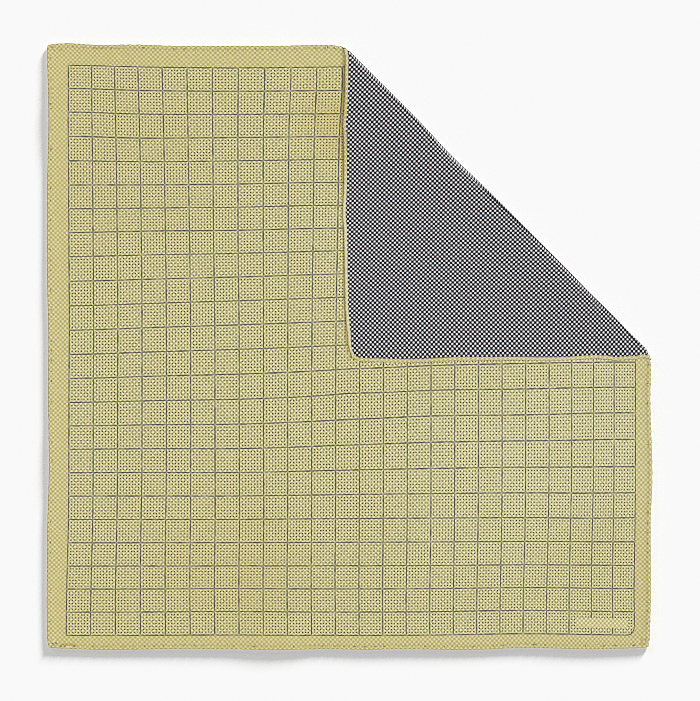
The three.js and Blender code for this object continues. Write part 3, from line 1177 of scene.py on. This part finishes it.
def lay_floor():
    bpy.ops.object.select_all(action="DESELECT")
    bpy.ops.mesh.primitive_plane_add(size=FLOOR_SIZE)
    floor = bpy.context.object
    floor.name = "floor"
    finish = Finish("pale_floor", ROUGHNESS["floor"])
    place = finish.nodes.new("ShaderNodeTexCoord").outputs["Object"]
    darker = [channel - FLOOR_GRAIN["darker"] for channel in FLOOR]
    grain = finish.noise(place, FLOOR_GRAIN["scale"])
    pale = finish.mix(grain, linear(FLOOR), linear(darker))
    finish.put(finish.surface.inputs["Base Color"], pale)
    finish.surface.inputs["Specular IOR Level"].default_value = 0.0
    finish.surface.inputs["Emission Color"].default_value = (1, 1, 1, 1)
    finish.surface.inputs["Emission Strength"].default_value = FLOOR_GLOW
    floor.data.materials.append(finish.material)
    return floor


def hang_lights(lit):
    """Hangs the lights, each for the pieces that are lit under its name for them."""
    for name, azimuth, elevation, width, strength, falls_on in SUNS:
        turn, tilt = math.radians(azimuth), math.radians(90 - elevation)
        sun = bpy.data.lights.new(name, "SUN")
        sun.energy = strength
        sun.angle = math.radians(width)
        lamp = bpy.data.objects.new(name, sun)
        lamp.rotation_euler = (0, tilt, turn)
        bpy.context.collection.objects.link(lamp)
        receivers = bpy.data.collections.new(f"under_{name}")
        for piece in lit[falls_on]:
            receivers.objects.link(piece)
        lamp.light_linking.receiver_collection = receivers
    world = bpy.data.worlds.new("studio")
    world.use_nodes = True
    background = world.node_tree.nodes["Background"].inputs
    background["Color"].default_value = (*SKY, 1)
    background["Strength"].default_value = SKY_STRENGTH
    bpy.context.scene.world = world


def set_camera():
    lens = bpy.data.cameras.new("camera")
    lens.lens = LENS
    lens.sensor_fit = "VERTICAL"
    lens.sensor_height = SENSOR
    camera = bpy.data.objects.new("camera", lens)
    distance = PICTURE_HEIGHT * LENS / SENSOR + FRONT_FLAT
    camera.location = Vector((*PICTURE_MIDDLE, distance)) * MM
    bpy.context.collection.objects.link(camera)
    scene = bpy.context.scene
    scene.camera = camera
    scene.view_settings.view_transform = "Standard"
    scene.cycles.use_denoising = False
    scene.cycles.use_light_tree = True
    scene.cycles.pixel_filter_type = "BLACKMAN_HARRIS"
    scene.cycles.filter_width = FILTER_WIDTH


def crisp_picture():
    """Sharpens the picture a little, as photographs of goods are, in the values that are seen."""
    scene = bpy.context.scene
    scene.use_nodes = True
    nodes, links = scene.node_tree.nodes, scene.node_tree.links
    nodes.clear()
    render = nodes.new("CompositorNodeRLayers")
    to_seen = nodes.new("CompositorNodeGamma")
    to_seen.inputs["Gamma"].default_value = 1 / SEEN_GAMMA
    crisp = nodes.new("CompositorNodeFilter")
    crisp.filter_type = "SHARPEN"
    crisp.inputs["Fac"].default_value = CRISPNESS
    to_light = nodes.new("CompositorNodeGamma")
    to_light.inputs["Gamma"].default_value = SEEN_GAMMA
    picture = nodes.new("CompositorNodeComposite")
    chain = [render, to_seen, crisp, to_light, picture]
    for node, following in zip(chain, chain[1:]):
        links.new(node.outputs["Image"], following.inputs["Image"])


def middle_of(points):
    """What brings the box of these points over the origin."""
    spans = [[point[axis] for point in points] for axis in range(2)]
    return Vector((*(-(min(span) + max(span)) / 2 for span in spans), 0))


set_camera()
crisp_picture()
floor = lay_floor()

hem_sheet = roll_hem()
shift = middle_of(hem_sheet.points)
front_finish = front_print_and_painted_shade(shift)
reverse_finish = checked_reverse()
cloth = weave_cloth().make("pocket_square_cloth", shift, [front_finish, reverse_finish])
hem = hem_sheet.make("rolled_hem", shift, [front_finish])
stitches = sew_hem(hem_thread(), shift)
for piece in (cloth, hem, stitches):
    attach(piece, BODY)
    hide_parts(CAD_CLOTH)
hang_lights({"cloth": [cloth, hem, stitches], "floor": [floor]})
